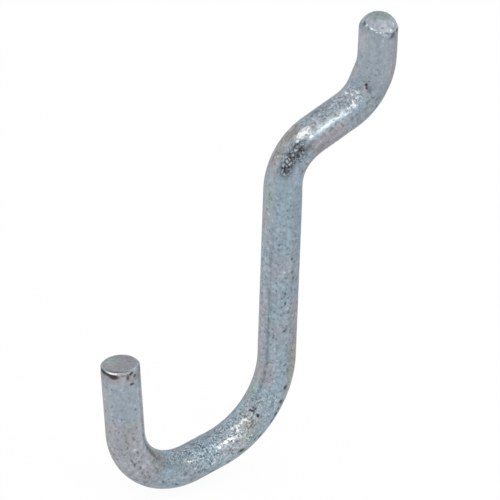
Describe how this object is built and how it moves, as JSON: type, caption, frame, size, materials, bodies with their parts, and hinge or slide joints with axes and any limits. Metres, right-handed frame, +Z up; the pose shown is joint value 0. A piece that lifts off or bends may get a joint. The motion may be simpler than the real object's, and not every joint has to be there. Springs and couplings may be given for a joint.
{
  "type": "pegboard hook",
  "caption": "Round zinc-plated steel rod bent into a J hook, with a short cranked upright peg that locks into a hole of a perforated board and a wide U that holds a hanging item.",
  "frame": {"origin": "on the peg's axis, halfway up its straight length", "axes": "+Z up along the peg, +Y through the board towards its back, front leg on the -Y side, rod bent in the YZ plane"},
  "size_m": [0.006, 0.0511, 0.0721],
  "materials": {
    "zinc_plate": "satin zinc plating with pits, die lines and small rust spots"
  },
  "bodies": {
    "root": {"hook": "zinc_plate"}
  },
  "joints": []
}
